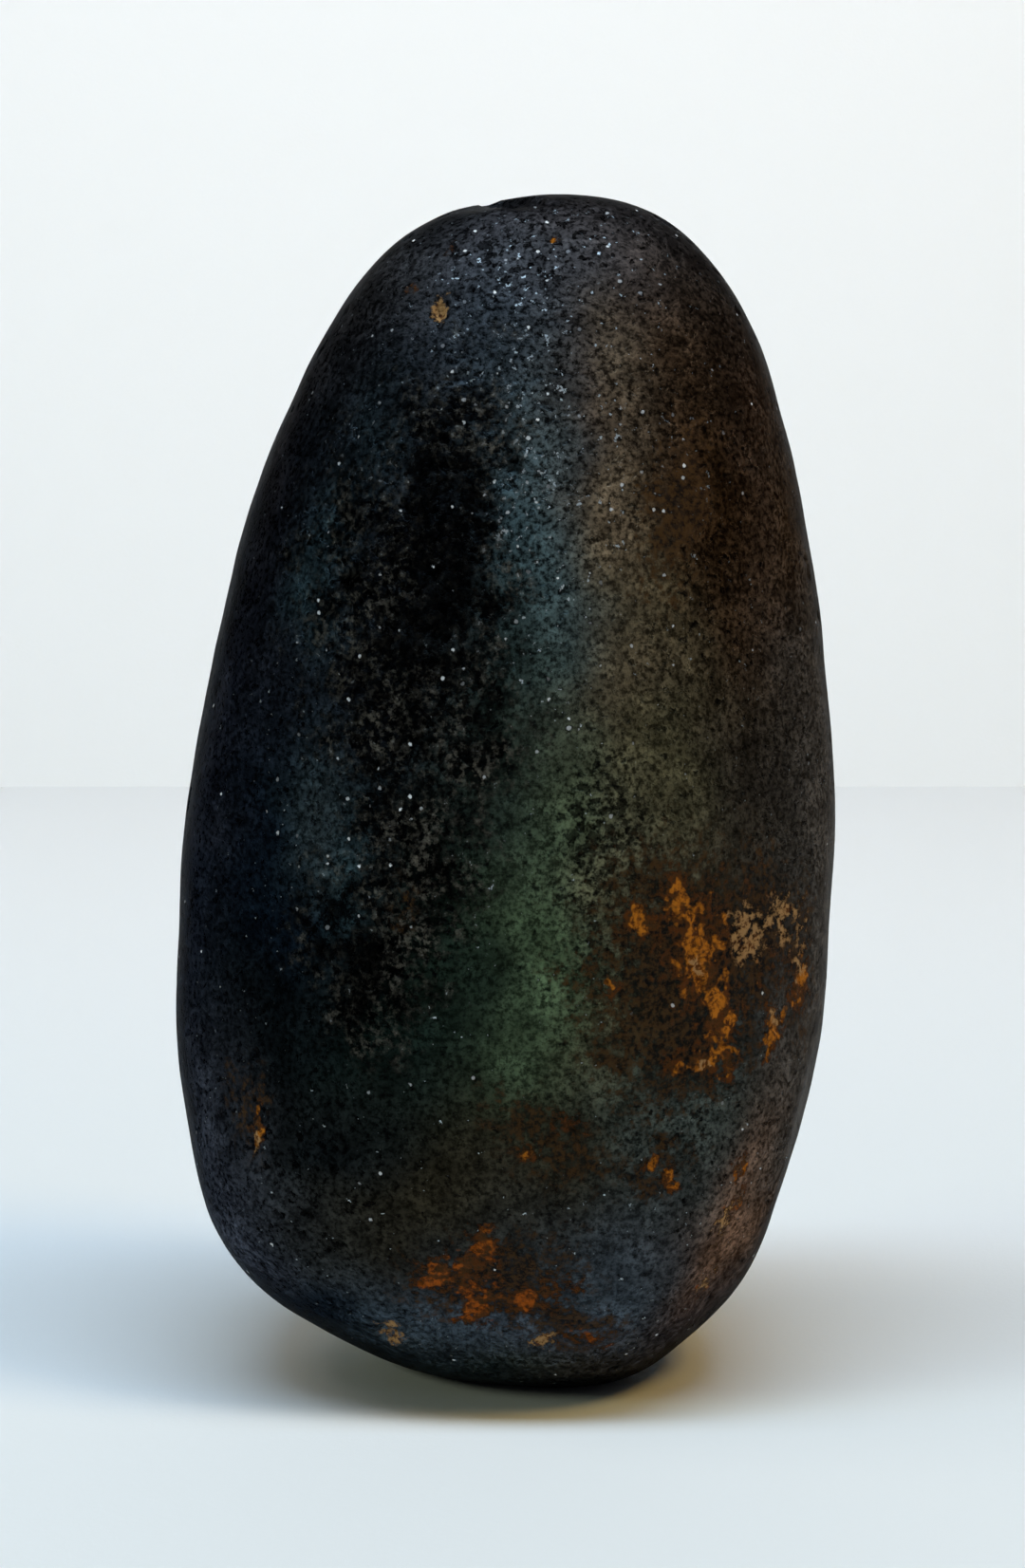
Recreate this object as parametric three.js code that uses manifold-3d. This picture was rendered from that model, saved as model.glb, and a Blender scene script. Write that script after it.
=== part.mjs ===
// A water-worn hematite pebble that stands on end on a small flat spot.
// It is one natural piece, so it is one solid: a rounded block with softly worn faces, a few shallow
// hollows, chips on its rims and a nick on its crown.
// Millimetres. X runs to the right and Z up as the stone is seen from the front, and -Y is its front.
// The origin is on the resting plane, below the middle of the stone's width and depth.
import * as THREE from "three";
import { mergeVertices } from "three/addons/utils/BufferGeometryUtils.js";
import Module from "manifold-3d";

// Real sizes of the stone. The outlines below are drawn to them.
const HEIGHT = 90;
const WIDTH = 50.6;
const DEPTH = 42;

// The point inside the stone that every radius is measured from.
const HEART = new THREE.Vector3(2, 0, 42);

// The outline seen from the front, as [x, z], anticlockwise from the right.
// The bottom runs a little below zero, because the resting spot is cut there.
const FRONT_OUTLINE = [
  [25.0, 42],
  [24.4, 53],
  [23.1, 63],
  [21.0, 72.2],
  [19.7, 77],
  [17.8, 81.4],
  [14.8, 85.6],
  [11.2, 88.4],
  [6.6, 89.8],
  [2.2, 90.1],
  [-2.4, 89.6],
  [-7.1, 87.6],
  [-10.6, 84.7],
  [-13.9, 80],
  [-17.4, 73],
  [-21.5, 61],
  [-24.4, 48.5],
  [-25.8, 35.5],
  [-25.7, 22.5],
  [-23.2, 11.4],
  [-18, 4.9],
  [-10.6, 0.9],
  [-2, -0.9],
  [7, -1.1],
  [13.1, 1.8],
  [17.7, 6.2],
  [21.2, 14.5],
  [23.6, 23],
  [24.6, 32],
];

// The outline seen from the right, as [y, z], anticlockwise from the back.
const SIDE_OUTLINE = [
  [19.6, 42],
  [18.9, 56],
  [16.2, 69.5],
  [11.6, 80.5],
  [5.2, 87.6],
  [0, 90],
  [-6.6, 88.2],
  [-12.8, 81],
  [-17.6, 69],
  [-20.6, 55],
  [-21.8, 40],
  [-21.6, 24.5],
  [-19.2, 10.6],
  [-14, 2.2],
  [-6, -1.4],
  [4, -1.2],
  [12, 2.9],
  [17, 11.5],
  [19.3, 26],
];

// How square the level sections are: 2 is an ellipse, and more is squarer.
const SECTION_SQUARENESS = 2.25;

// Worn faces: each shaves the rounded block flatter where it looks towards azimuth and rise, in degrees.
// Azimuth 0 is the right side, 90 the back, 180 the left side and 270 the front.
// shave is how much it takes off the block at its middle, and softness how widely its rim is rounded.
const WORN_FACES = [
  { name: "left flank", azimuth: 234, rise: 6, shave: 1.1, softness: 1.4 },
  { name: "right flank", azimuth: 314, rise: 5, shave: 1.2, softness: 1.4 },
  { name: "lower left underside", azimuth: 228, rise: -50, shave: 0.8, softness: 1.4 },
  { name: "back", azimuth: 96, rise: 2, shave: 0.9, softness: 1.8 },
  { name: "back left", azimuth: 148, rise: 14, shave: 0.8, softness: 1.6 },
  { name: "lower right heel", azimuth: 322, rise: -32, shave: 0.9, softness: 1.2 },
];

// Shallow hollows and chips, centred where a line from the heart at azimuth and rise meets the surface.
// across and tall are their half sizes along the surface. tilt turns the tall way clockwise, in degrees.
const HOLLOWS = [
  { name: "rough patch", azimuth: 246, rise: 31, across: 6, tall: 19, tilt: 11, depth: 0.45 },
  { name: "dark crescent", azimuth: 236, rise: -17, across: 3.2, tall: 6.5, tilt: 38, depth: 0.5 },
  { name: "rusty pocket", azimuth: 304, rise: -21, across: 6.5, tall: 5.5, tilt: 20, depth: 0.5 },
  { name: "rusty heel", azimuth: 314, rise: -54, across: 3, tall: 6.5, tilt: 20, depth: 0.4 },
  { name: "rusty toe", azimuth: 257, rise: -61, across: 6, tall: 3, tilt: -12, depth: 0.4 },
  { name: "crown nick", azimuth: 215, rise: 85, across: 2.8, tall: 3.4, tilt: 0, depth: 0.6 },
  { name: "left rim chip", azimuth: 212, rise: -35, across: 4.2, tall: 3, tilt: 30, depth: 0.4 },
  { name: "right rim chip", azimuth: 338, rise: -42, across: 3.4, tall: 4.6, tilt: 20, depth: 0.4 },
  { name: "shoulder dip", azimuth: 300, rise: 66, across: 4.5, tall: 6, tilt: -24, depth: 0.35 },
  { name: "back dimple", azimuth: 78, rise: 42, across: 6, tall: 8, tilt: -25, depth: 0.7 },
  { name: "back chip", azimuth: 118, rise: -44, across: 4.5, tall: 3.2, tilt: 40, depth: 0.7 },
  { name: "back scar", azimuth: 60, rise: -20, across: 3, tall: 7.5, tilt: 35, depth: 0.5 },
  { name: "left side dent", azimuth: 172, rise: 18, across: 3.4, tall: 6, tilt: -18, depth: 0.45 },
];

// Long swells left by wear, as a share of a millimetre, so that no face is truly flat.
const SWELL_HEIGHT = 0.07;
const SWELL_LENGTH = 21;

// Steps along each edge of the icosahedron that the surface is drawn on.
const EDGE_STEPS = 20;
// The block that cuts the resting spot at z = 0.
const CUT_SIZE = 80;

const RADIANS = Math.PI / 180;

// An outline as a smooth closed curve of radius against angle, both seen from the heart.
function polarOutline(points, middle) {
  const knots = points
    .map(([across, z]) => {
      const dx = across - middle;
      const dz = z - HEART.z;
      const angle = Math.atan2(dz, dx);
      return { angle: angle < 0 ? angle + 2 * Math.PI : angle, radius: Math.hypot(dx, dz) };
    })
    .sort((a, b) => a.angle - b.angle);
  const count = knots.length;
  const knot = (i) => {
    const turns = Math.floor(i / count);
    const base = knots[i - turns * count];
    return { angle: base.angle + turns * 2 * Math.PI, radius: base.radius };
  };
  const slope = (i) => {
    const before = knot(i - 1);
    const after = knot(i + 1);
    return (after.radius - before.radius) / (after.angle - before.angle);
  };
  return (angle) => {
    const wanted = angle < knots[0].angle ? angle + 2 * Math.PI : angle;
    let i = 0;
    while (knot(i + 1).angle <= wanted) i += 1;
    const from = knot(i);
    const to = knot(i + 1);
    const span = to.angle - from.angle;
    const t = (wanted - from.angle) / span;
    return (
      from.radius * (1 + 2 * t) * (1 - t) ** 2 +
      to.radius * t * t * (3 - 2 * t) +
      slope(i) * span * t * (1 - t) ** 2 -
      slope(i + 1) * span * t * t * (1 - t)
    );
  };
}

const frontRadius = polarOutline(FRONT_OUTLINE, HEART.x);
const sideRadius = polarOutline(SIDE_OUTLINE, HEART.y);

// How far out of an outline a point lies: 1 is on it. The point is given from the heart.
function outlineGauge(radiusAt, across, z) {
  const length = Math.hypot(across, z);
  if (length === 0) return 0;
  const angle = Math.atan2(z, across);
  return length / radiusAt(angle < 0 ? angle + 2 * Math.PI : angle);
}

// Radius of the rounded block in a direction. It follows the front outline where y is 0 and the side
// outline where x is 0, and its level sections are rounded between the two.
function blockRadius(direction) {
  const { x, y, z } = direction;
  const front = outlineGauge(frontRadius, x, z) ** SECTION_SQUARENESS;
  const side = outlineGauge(sideRadius, y, z) ** SECTION_SQUARENESS;
  const pole = outlineGauge(sideRadius, 0, z) ** SECTION_SQUARENESS;
  return (front + side - pole) ** (-1 / SECTION_SQUARENESS);
}

function towards(azimuth, rise) {
  const level = Math.cos(rise * RADIANS);
  return new THREE.Vector3(
    level * Math.cos(azimuth * RADIANS),
    level * Math.sin(azimuth * RADIANS),
    Math.sin(rise * RADIANS),
  );
}

// The smaller of two lengths, rounded where they meet.
function softMin(a, b, softness) {
  const gap = Math.max(softness - Math.abs(a - b), 0) / softness;
  return Math.min(a, b) - (gap * gap * softness) / 4;
}

// The faces as planes, each at its distance from the heart, less what it shaves off.
function wornPlanes(directions) {
  return WORN_FACES.map(({ azimuth, rise, shave, softness }) => {
    const normal = towards(azimuth, rise);
    const reaches = directions.map((direction) => blockRadius(direction) * direction.dot(normal));
    return { normal, softness, distance: Math.max(...reaches) - shave };
  });
}

function shavedRadius(direction, planes) {
  return planes.reduce((radius, { normal, softness, distance }) => {
    const facing = direction.dot(normal);
    return facing > 0.05 ? softMin(radius, distance / facing, softness) : radius;
  }, blockRadius(direction));
}

// Each hollow with its centre on the surface and the two ways along it.
function placedHollows(planes) {
  return HOLLOWS.map(({ azimuth, rise, across, tall, tilt, depth }) => {
    const outward = towards(azimuth, rise);
    const centre = outward.clone().multiplyScalar(shavedRadius(outward, planes)).add(HEART);
    const sideways = towards(azimuth + 90, 0);
    const upward = outward.clone().cross(sideways);
    const turn = tilt * RADIANS;
    const acrossWay = sideways.clone().multiplyScalar(Math.cos(turn)).addScaledVector(upward, -Math.sin(turn));
    const tallWay = upward.clone().multiplyScalar(Math.cos(turn)).addScaledVector(sideways, Math.sin(turn));
    return { outward, centre, acrossWay, tallWay, across, tall, depth };
  });
}

function hollowDepth(point, direction, hollows) {
  return hollows.reduce((total, { outward, centre, acrossWay, tallWay, across, tall, depth }) => {
    if (direction.dot(outward) < 0) return total;
    const offset = point.clone().sub(centre);
    const u = offset.dot(acrossWay) / across;
    const v = offset.dot(tallWay) / tall;
    const fade = Math.max(1 - u * u - v * v, 0);
    return total + depth * fade * fade * (3 - 2 * fade);
  }, 0);
}

// How far wear has swelled the surface at a point.
function swell(point) {
  const k = (2 * Math.PI) / SWELL_LENGTH;
  return (
    SWELL_HEIGHT *
    (Math.sin(k * point.x + 1.3 * Math.cos(k * 0.6 * point.z)) * Math.cos(k * 0.8 * point.y + 0.7) +
      0.6 * Math.sin(k * 1.5 * point.z + 1.1) * Math.sin(k * 1.2 * point.x + k * 0.9 * point.y))
  );
}

// Shapes a unit sphere of even triangles into the stone.
function stoneSurface() {
  const sphere = new THREE.IcosahedronGeometry(1, EDGE_STEPS);
  sphere.deleteAttribute("normal");
  sphere.deleteAttribute("uv");
  const surface = mergeVertices(sphere, 1e-5);
  const position = surface.getAttribute("position");
  const stretch = (2 * HEIGHT) / (WIDTH + DEPTH);
  const directions = Array.from({ length: position.count }, (_, i) => {
    const direction = new THREE.Vector3().fromBufferAttribute(position, i);
    direction.z *= stretch;
    return direction.normalize();
  });
  const planes = wornPlanes(directions);
  const hollows = placedHollows(planes);
  directions.forEach((direction, i) => {
    const point = direction.clone().multiplyScalar(shavedRadius(direction, planes)).add(HEART);
    point.addScaledVector(direction, swell(point) - hollowDepth(point, direction, hollows));
    position.setXYZ(i, point.x, point.y, point.z);
  });
  return surface;
}

// Cuts the flat spot that the stone stands on.
async function cutRestingSpot(geometry) {
  const wasm = await Module();
  wasm.setup();
  const solidOf = (closed) =>
    new wasm.Manifold(
      new wasm.Mesh({
        numProp: 3,
        vertProperties: closed.getAttribute("position").array,
        triVerts: new Uint32Array(closed.index.array),
      }),
    );
  const block = new THREE.BoxGeometry(CUT_SIZE, CUT_SIZE, CUT_SIZE).translate(0, 0, -CUT_SIZE / 2);
  block.deleteAttribute("normal");
  block.deleteAttribute("uv");
  const cut = solidOf(geometry).subtract(solidOf(mergeVertices(block))).getMesh();
  return new THREE.BufferGeometry()
    .setAttribute("position", new THREE.BufferAttribute(cut.vertProperties, cut.numProp))
    .setIndex(new THREE.BufferAttribute(cut.triVerts, 1));
}

// Brings the stone to its real size, with the origin under the middle of its width and depth.
function settle(geometry) {
  geometry.computeBoundingBox();
  const size = geometry.boundingBox.getSize(new THREE.Vector3());
  geometry.scale(WIDTH / size.x, DEPTH / size.y, HEIGHT / size.z);
  const middle = geometry.boundingBox.getCenter(new THREE.Vector3());
  geometry.translate(-middle.x, -middle.y, 0);
  geometry.computeVertexNormals();
  return geometry;
}

const stone = new THREE.Mesh(
  settle(await cutRestingSpot(stoneSurface())),
  new THREE.MeshStandardMaterial({ color: 0x23282b, roughness: 0.45, metalness: 0.6 }),
);
stone.name = "stone";

const specimen = new THREE.Group();
specimen.name = "hematite specimen";
specimen.add(stone);
export default specimen;
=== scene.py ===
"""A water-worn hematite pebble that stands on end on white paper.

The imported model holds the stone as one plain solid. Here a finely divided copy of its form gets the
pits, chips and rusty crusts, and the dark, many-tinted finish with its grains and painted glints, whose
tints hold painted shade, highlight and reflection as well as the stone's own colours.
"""
import math
from collections import namedtuple

import bpy
import numpy as np
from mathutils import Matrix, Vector, noise


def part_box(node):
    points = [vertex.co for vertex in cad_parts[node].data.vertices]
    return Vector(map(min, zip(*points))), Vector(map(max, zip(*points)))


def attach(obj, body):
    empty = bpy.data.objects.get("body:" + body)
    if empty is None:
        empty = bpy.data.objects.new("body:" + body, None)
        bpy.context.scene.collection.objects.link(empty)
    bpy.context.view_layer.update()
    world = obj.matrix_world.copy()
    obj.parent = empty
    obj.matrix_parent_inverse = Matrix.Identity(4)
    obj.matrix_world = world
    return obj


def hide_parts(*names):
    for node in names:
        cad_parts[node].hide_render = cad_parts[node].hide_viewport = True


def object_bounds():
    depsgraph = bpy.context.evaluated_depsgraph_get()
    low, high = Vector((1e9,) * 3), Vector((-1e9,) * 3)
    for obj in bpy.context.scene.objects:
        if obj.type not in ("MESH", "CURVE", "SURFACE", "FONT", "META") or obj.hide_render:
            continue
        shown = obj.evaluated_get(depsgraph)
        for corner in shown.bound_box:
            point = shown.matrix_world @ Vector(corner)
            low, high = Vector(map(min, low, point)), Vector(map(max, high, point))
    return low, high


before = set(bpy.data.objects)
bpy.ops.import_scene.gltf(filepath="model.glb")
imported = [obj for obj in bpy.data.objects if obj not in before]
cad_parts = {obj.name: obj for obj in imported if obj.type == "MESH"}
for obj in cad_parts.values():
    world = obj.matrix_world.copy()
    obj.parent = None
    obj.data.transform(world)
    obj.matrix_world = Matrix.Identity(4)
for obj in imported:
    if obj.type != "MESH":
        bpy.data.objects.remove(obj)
CAD_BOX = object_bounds()

bl_info = {
    "name": "Hematite pebble",
    "version": (1, 0, 0),
    "blender": (4, 5, 0),
    "location": "3D View > Sidebar > Hematite",
    "description": "Models and finishes a water-worn hematite pebble on a paper sheet",
    "category": "Object",
}

MM = 0.001

# The point inside the stone that the spots below are aimed from, in millimetres.
HEART = Vector((2.0, 0.0, 42.0))

# How far into the stone a spot reaches, in millimetres, so that it doesn't come out at the back.
SPOT_DEPTH = 15.0

# A spot on the surface, where a line from the heart at azimuth and rise, in degrees, comes out.
# Azimuth 270 faces the front, 0 the right, 90 the back. across and tall are half sizes in millimetres,
# turn swings the tall way clockwise, in degrees, and strength is its weight at the middle.
Spot = namedtuple("Spot", "name azimuth rise across tall turn strength")

# Places where the surface is black, rough and full of pits. The left flank shade spot also darkens the
# upper left flank as painted shade.
ROUGH_SPOTS = (
    Spot("rough patch top", 249, 58, 5.0, 8.0, 5, 0.85),
    Spot("rough patch left", 236, 43, 5.6, 7.0, 20, 0.8),
    Spot("rough patch right", 253, 50, 3.4, 6.0, 0, 0.95),
    Spot("rough patch middle", 243, 30, 5.6, 7.0, 10, 0.85),
    Spot("rough patch inner edge", 257, 25, 3.8, 4.4, -10, 0.9),
    Spot("rough patch low left", 238, 12, 4.8, 5.4, 20, 0.6),
    Spot("rough patch low", 249, 0, 4.4, 6.0, 10, 0.75),
    Spot("rough patch foot", 246, -14, 3.6, 5.4, 10, 0.65),
    Spot("crescent upper", 229.5, -12, 3.0, 3.8, 50, 0.8),
    Spot("crescent lower", 237, -21, 3.4, 5.0, -30, 0.85),
    # Partly painted shade: the upper left flank darkened with the rough patch's black and pits.
    Spot("left flank shade", 222, 52, 5.0, 8.0, 10, 0.5),
    Spot("back scar", 60, -20, 3.6, 9.0, 35, 0.85),
    Spot("back dimple", 78, 42, 5.0, 8.0, -25, 0.7),
    Spot("back left patch", 130, 5, 7.0, 12.0, 20, 0.7),
)

# Parts of the rough places where almost no grit shows, so that they stay plain black.
PLAIN_BLACK_SPOTS = (
    Spot("top hollow", 244, 57, 3.4, 3.4, 0, 0.7),
    Spot("right hollow", 254, 50, 2.8, 5.0, 0, 0.9),
    Spot("middle hollow", 245.5, 42, 2.6, 3.2, 10, 0.9),
    Spot("inner hollow", 261, 28, 1.8, 2.6, 0, 0.8),
    Spot("left hollow", 230, 12.5, 2.2, 2.2, 0, 0.6),
    Spot("crescent hollow", 236, -18, 3.0, 3.4, -20, 0.8),
    Spot("crescent hollow upper", 229, -12, 2.4, 2.8, 50, 0.8),
    Spot("back scar hollow", 60, -20, 1.8, 6.0, 35, 0.8),
)

# Places where small pits are scattered more thickly than elsewhere.
PITTED_SPOTS = (
    Spot("crown", 270, 80, 12.0, 6.0, 0, 0.55),
    Spot("beside the ridge", 285, 2, 4.0, 9.0, 0, 0.8),
    Spot("ridge foot", 279, -16, 4.0, 7.0, 0, 0.35),
    Spot("brown flank", 312, 45, 7.0, 13.0, 0, 0.5),
    Spot("left flank", 225, 20, 8.0, 18.0, 0, 0.45),
    Spot("below the rust", 300, -44, 8.0, 5.0, 0, 0.5),
    Spot("lower left", 228, -45, 9.0, 7.0, 0, 0.45),
    Spot("back middle", 95, 5, 9.0, 16.0, 15, 0.6),
    Spot("back left rim", 150, 35, 6.0, 10.0, 0, 0.5),
    Spot("back right low", 40, -40, 7.0, 7.0, 0, 0.5),
)

# Places where glints are painted more thickly, and where the grain is coarser with more pale grains.
GLINT_SPOTS = (
    Spot("ridge top", 268, 66, 5.5, 9.0, -10, 1.0),
    Spot("crown", 272, 80, 10.0, 5.0, 0, 0.7),
    Spot("ridge", 272, 48, 3.6, 8.0, 0, 0.6),
    Spot("left of the ridge", 266.5, 58, 2.2, 7.0, 0, 1.0),
    Spot("below the crown", 262, 73, 5.0, 6.0, 0, 0.8),
    Spot("rough patch", 246, 35, 7.0, 15.0, 10, 0.5),
    Spot("left flank", 226, 48, 6.0, 10.0, 0, 0.4),
    Spot("low patch", 245, 5, 6.0, 8.0, 0, 0.3),
    Spot("right shoulder", 300, 58, 6.0, 9.0, 0, 0.5),
    Spot("back ridge", 92, 45, 8.0, 14.0, 0, 0.6),
    Spot("back low", 110, -30, 8.0, 8.0, 0, 0.4),
)

# Dark brown stain round the rust.
STAIN_SPOTS = (
    Spot("pocket stain", 300, -14, 6.0, 6.0, 0, 1.0),
    Spot("pocket stain low", 298.5, -29, 5.6, 4.6, 0, 1.0),
    Spot("pocket stain right", 319, -14, 5.0, 4.6, 0, 0.8),
    Spot("pocket stain rim", 331, -23, 2.6, 5.0, 0, 0.5),
    Spot("streak by the ridge", 303, 53, 2.4, 5.4, 35, 0.7),
    Spot("toe stain", 262, -60, 6.0, 2.8, 0, 0.8),
    Spot("toe stain right", 280, -65, 4.0, 1.6, 0, 0.9),
    Spot("foot blush", 274, -45, 5.0, 2.2, 20, 0.55),
    Spot("foot blush right", 296, -47, 2.6, 1.6, 0, 0.6),
    Spot("left fleck stain", 214, -37, 1.8, 3.4, -30, 0.4),
    Spot("patch tint", 246, -8.6, 2.0, 2.2, 0, 0.3),
    Spot("back stain", 100, 20, 4.0, 8.0, 25, 0.8),
    Spot("back stain low", 70, -38, 6.0, 3.0, 0, 0.7),
    Spot("left side stain", 170, -30, 3.0, 5.0, 0, 0.6),
)

# Orange-brown rust that lies in the surface as small crusts.
RUST_SPOTS = (
    Spot("pocket haze", 302, -14, 4.6, 5.0, 0, 0.29),
    Spot("pocket haze low", 303, -31, 4.2, 3.2, 0, 0.14),
    Spot("pocket haze right", 322, -16, 4.4, 4.8, 0, 0.29),
    Spot("pocket top", 298, -4.6, 0.8, 1.4, 0, 1.0),
    Spot("pocket upper left", 290.9, -10.8, 1.4, 0.9, 0, 1.0),
    Spot("pocket top right", 303, -8.0, 1.8, 1.0, 20, 0.45),
    Spot("pocket neck", 299.5, -11.5, 1.4, 1.2, 0, 0.45),
    Spot("pocket middle", 302.5, -15.0, 1.1, 1.2, -10, 0.65),
    Spot("pocket belly", 303.4, -19.0, 1.9, 2.1, 0, 1.0),
    Spot("pocket bridge", 310, -15, 1.6, 1.0, 10, 0.4),
    Spot("pocket lower middle", 307.4, -26.2, 1.0, 1.1, 0, 1.0),
    Spot("pocket lower right", 310, -28.2, 1.1, 0.8, 0, 0.9),
    Spot("pocket stem", 308.5, -31.0, 1.2, 1.8, 0, 0.55),
    Spot("pocket foot left", 298, -34.1, 1.0, 0.7, 0, 0.8),
    Spot("pocket foot", 304.6, -33.8, 1.2, 0.8, 0, 1.0),
    Spot("pocket foot right", 309.5, -35.0, 0.8, 0.8, 0, 0.7),
    Spot("small left", 285.3, -22.7, 0.5, 0.6, 0, 0.9),
    Spot("rim upper", 332, -20.6, 0.9, 2.0, 0, 0.5),
    Spot("rim middle", 330.5, -25, 1.1, 1.4, 0, 1.0),
    Spot("rim lower", 322, -30.3, 0.8, 2.0, 20, 0.85),
    Spot("blush top", 277.4, -42.8, 1.6, 1.1, 30, 0.36),
    Spot("blush left", 269.4, -46.3, 0.7, 0.7, 0, 0.6),
    Spot("blush right", 294, -46.5, 0.5, 0.8, 0, 0.85),
    Spot("blush far right", 298.7, -47.6, 0.5, 0.8, 0, 0.9),
    Spot("heel upper", 315, -46.6, 0.6, 1.0, 10, 0.8),
    Spot("heel middle", 315, -52.0, 1.3, 1.8, 20, 0.6),
    Spot("heel lower", 316.0, -61, 1.2, 1.4, 20, 0.5),
    Spot("toe stem", 260.3, -55.6, 1.1, 1.2, 10, 0.9),
    Spot("toe stem foot", 256.0, -57.9, 1.3, 1.2, 0, 0.85),
    Spot("toe left", 248.4, -58.4, 1.6, 1.1, 0, 0.95),
    Spot("toe middle", 257.0, -60.8, 1.9, 1.3, 0, 0.6),
    Spot("toe lower", 255.4, -64.0, 1.2, 1.2, 0, 0.85),
    Spot("toe right", 267.0, -62.7, 2.0, 0.9, 0, 0.8),
    Spot("toe far right", 276.0, -60.5, 1.7, 1.5, 0, 0.5),
    Spot("toe corner", 283.3, -66.2, 2.4, 0.9, 0, 0.6),
    Spot("left fleck", 217.4, -38.8, 0.6, 1.1, 10, 0.85),
    Spot("crown speck", 283.2, 79.8, 0.5, 0.4, 0, 0.9),
    Spot("crown speck left", 231.5, 78.4, 0.4, 0.4, 0, 0.8),
    Spot("shoulder speck", 223.4, 73.6, 0.5, 0.4, 0, 0.8),
    Spot("back crust", 101, 22, 1.6, 2.6, 25, 0.9),
    Spot("back crust low", 97, 14, 1.1, 1.6, 0, 0.9),
    Spot("back crust edge", 104, 29, 0.8, 1.4, 0, 0.8),
    Spot("back foot left", 76, -38, 1.8, 1.1, 0, 0.9),
    Spot("back foot right", 66, -41, 1.2, 0.9, 0, 0.85),
    Spot("left side", 170, -30, 0.9, 1.8, -10, 0.8),
    Spot("right side", 12, 20, 0.8, 1.2, 0, 0.8),
)

# Pale ochre and tan crumbs, which stand a little proud of the rust.
OCHRE_SPOTS = (
    Spot("shoulder pit", 236.9, 72.4, 0.6, 0.9, 10, 1.0),
    Spot("pocket belly crumbs", 303.5, -19.5, 1.0, 0.8, 0, 0.8),
    Spot("tan crumbs left", 314, -11.8, 1.1, 1.1, 0, 0.9),
    Spot("tan crumbs low", 316.0, -16.8, 1.4, 1.5, -20, 1.0),
    Spot("tan crumbs middle", 320.5, -13.0, 1.2, 1.4, 0, 0.38),
    Spot("tan crumbs right", 326.0, -12.4, 1.6, 2.2, 0, 0.7),
    Spot("tan crumbs rim", 331.0, -19.5, 1.2, 3.0, 0, 0.55),
    Spot("rim crumbs", 322, -29, 0.5, 1.0, 20, 0.7),
    Spot("foot crumbs", 304, -34.2, 0.6, 0.6, 0, 0.8),
    Spot("heel crumbs", 314.4, -53.0, 1.2, 1.6, 20, 0.6),
    Spot("heel crumbs lower", 316, -61, 0.9, 1.0, 20, 0.6),
    Spot("toe crumbs", 273, -66.8, 0.9, 1.0, 10, 1.0),
    Spot("chipped edge", 232.5, -65.0, 2.2, 0.9, -60, 1.0),
    Spot("left crumbs", 217.0, -40.0, 0.4, 0.6, 0, 0.7),
    Spot("back crumbs", 100, 20, 0.9, 1.2, 25, 0.9),
)

# Small chips and nicks that break the worn surface.
CHIP_SPOTS = (
    Spot("crown nick", 209, 87.6, 5.0, 1.8, 0, 0.7),
    Spot("crown nick step", 250, 86.5, 1.0, 1.4, 40, 0.6),
    Spot("shoulder nick", 352, 77.5, 1.0, 1.6, 20, 0.6),
    Spot("ochre pit", 236.9, 72.4, 0.7, 1.0, 10, 0.6),
    Spot("chipped edge", 231.0, -64.9, 1.5, 0.6, -60, 0.9),
    Spot("left edge chip", 221, -61.5, 1.0, 0.6, -50, 0.7),
    Spot("heel chip", 330, -52, 1.2, 2.0, 20, 0.5),
    Spot("back chip", 118, -44, 1.8, 1.2, 40, 0.9),
    Spot("left side chip", 186, 5, 0.9, 1.5, 0, 0.6),
    Spot("right side chip", 8, -25, 1.2, 1.8, 15, 0.7),
)
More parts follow.
